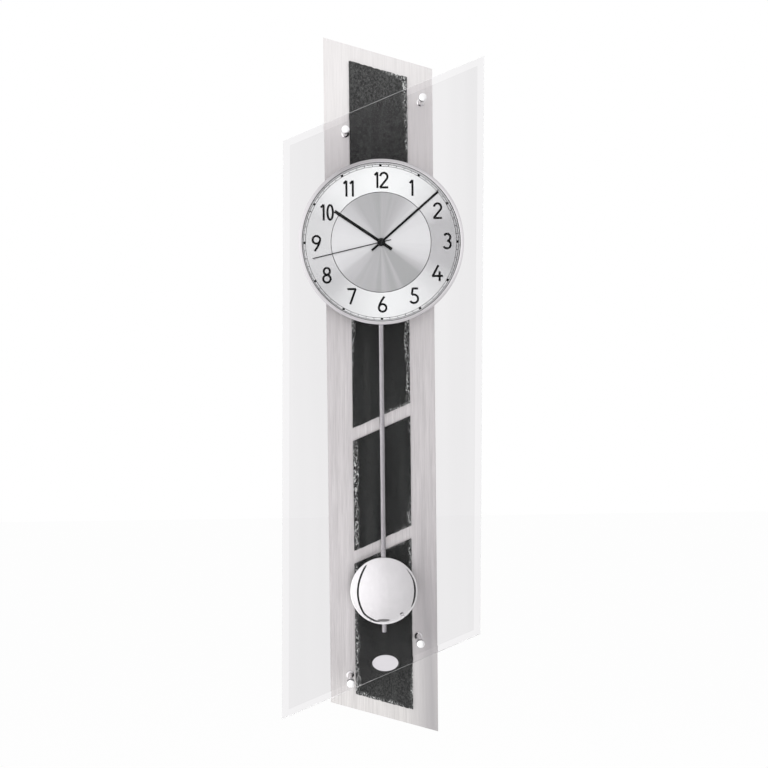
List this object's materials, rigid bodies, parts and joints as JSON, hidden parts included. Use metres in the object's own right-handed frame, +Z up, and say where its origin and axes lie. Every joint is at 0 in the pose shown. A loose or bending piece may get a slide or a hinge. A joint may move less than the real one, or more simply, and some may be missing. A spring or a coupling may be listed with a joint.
{
  "type": "pendulum wall clock",
  "caption": "Tall wall clock: slanted brushed panel with slate plates, bevelled glass pane on stand-offs, round dial with geared hands and a swinging pendulum behind the glass.",
  "frame": {"origin": "on the rear face of the hanger plate, on the clock's centre line, just above the edge of the keyhole that bears on the wall screw", "axes": "+Z up, +X to the right for someone facing the dial, +Y into the wall, so the dial faces -Y"},
  "size_m": [0.2056, 0.0696, 0.7002],
  "materials": {
    "board_core": "fibreboard, painted",
    "brushed_panel": "brushed upright, satin",
    "slate": "riven natural slate with chipped edges",
    "clear_glass": "clear float glass, bevel ground and polished",
    "chrome": "polished",
    "satin_rim": "turned, satin",
    "dial_silver": "fine brushed, printed in black",
    "centre_silver": "turned in fine circles",
    "hand_black": "satin black",
    "steel": "zinc plated",
    "clear_bush": "clear moulded",
    "pad_rubber": "matt",
    "black_moulding": "fine moulded grain",
    "gear_plastic": "natural moulded",
    "copper_wire": "enamelled winding",
    "circuit": "solder mask",
    "cell_sleeve": "plain sleeve",
    "magnet": "sintered"
  },
  "bodies": {
    "frame": {"back_board": "board_core", "facing_sheet": "brushed_panel", "hanger_plate": "steel", "hanger_screw_left": "steel", "hanger_screw_right": "steel", "wall_pad_left": "pad_rubber", "wall_pad_right": "pad_rubber", "slate_top": "slate", "slate_upper": "slate", "slate_lower": "slate", "slate_bottom": "slate", "standoff_screw_top_left": "steel", "standoff_post_top_left": "chrome", "glass_bush_top_left": "clear_bush", "standoff_cap_top_left": "chrome", "standoff_screw_top_right": "steel", "standoff_post_top_right": "chrome", "glass_bush_top_right": "clear_bush", "standoff_cap_top_right": "chrome", "standoff_screw_bottom_left": "steel", "standoff_post_bottom_left": "chrome", "glass_bush_bottom_left": "clear_bush", "standoff_cap_bottom_left": "chrome", "standoff_screw_bottom_right": "steel", "standoff_post_bottom_right": "chrome", "glass_bush_bottom_right": "clear_bush", "standoff_cap_bottom_right": "chrome", "glass_pane": "clear_glass", "dial_case": "satin_rim", "bezel_ring": "satin_rim", "dial_lens": "clear_glass", "dial_plate": "dial_silver", "centre_disc": "centre_silver", "movement_shell": "black_moulding", "movement_cover": "black_moulding", "tube_nut": "steel", "train_plate": "gear_plastic", "stator": "steel", "stepper_coil": "copper_wire", "circuit_board": "circuit", "battery": "cell_sleeve", "battery_contact_plus": "steel", "battery_contact_minus": "steel", "pendulum_coil": "copper_wire", "pivot_pin": "steel"},
    "minute_group": {"cannon_pinion": "gear_plastic", "minute_hand": "hand_black"},
    "hour_group": {"hour_wheel": "gear_plastic", "hour_hand": "hand_black"},
    "setting_group": {"minute_wheel": "gear_plastic", "setting_knob": "black_moulding"},
    "seconds_group": {"seconds_wheel": "gear_plastic", "second_hand": "hand_black"},
    "intermediate_group": {"intermediate_wheel": "gear_plastic"},
    "rotor_group": {"rotor": "magnet"},
    "pendulum": {"pendulum_arm": "steel", "drive_magnet": "magnet", "pendulum_rod": "chrome", "bob_shell": "chrome", "bob_back": "black_moulding"}
  },
  "joints": [
    {"name": "minute_turn", "type": "hinge", "parent": "frame", "child": "minute_group", "pos_m": [0, -0.0624, -0.13], "axis": [0, 1, 0], "continuous": true},
    {"name": "hour_turn", "type": "hinge", "parent": "frame", "child": "hour_group", "pos_m": [0, -0.0608, -0.13], "axis": [0, 1, 0], "continuous": true},
    {"name": "setting_turn", "type": "hinge", "parent": "frame", "child": "setting_group", "pos_m": [0.012, -0.0445, -0.13], "axis": [0, 1, 0], "continuous": true},
    {"name": "second_turn", "type": "hinge", "parent": "frame", "child": "seconds_group", "pos_m": [0, -0.064, -0.13], "axis": [0, 1, 0], "continuous": true},
    {"name": "intermediate_turn", "type": "hinge", "parent": "frame", "child": "intermediate_group", "pos_m": [-0.009, -0.039, -0.13], "axis": [0, 1, 0], "continuous": true},
    {"name": "rotor_turn", "type": "hinge", "parent": "frame", "child": "rotor_group", "pos_m": [-0.01627, -0.04, -0.1342], "axis": [0, 1, 0], "continuous": true},
    {"name": "pendulum_swing", "type": "hinge", "parent": "frame", "child": "pendulum", "pos_m": [0, -0.0315, -0.15], "axis": [0, 1, 0], "range_deg": [-6, 6]}
  ],
  "couplings": [
    {"joint": "hour_turn", "follows": "minute_turn", "ratio": 0.083333},
    {"joint": "setting_turn", "follows": "minute_turn", "ratio": -0.33333},
    {"joint": "intermediate_turn", "follows": "second_turn", "ratio": -5},
    {"joint": "rotor_turn", "follows": "second_turn", "ratio": 30}
  ]
}
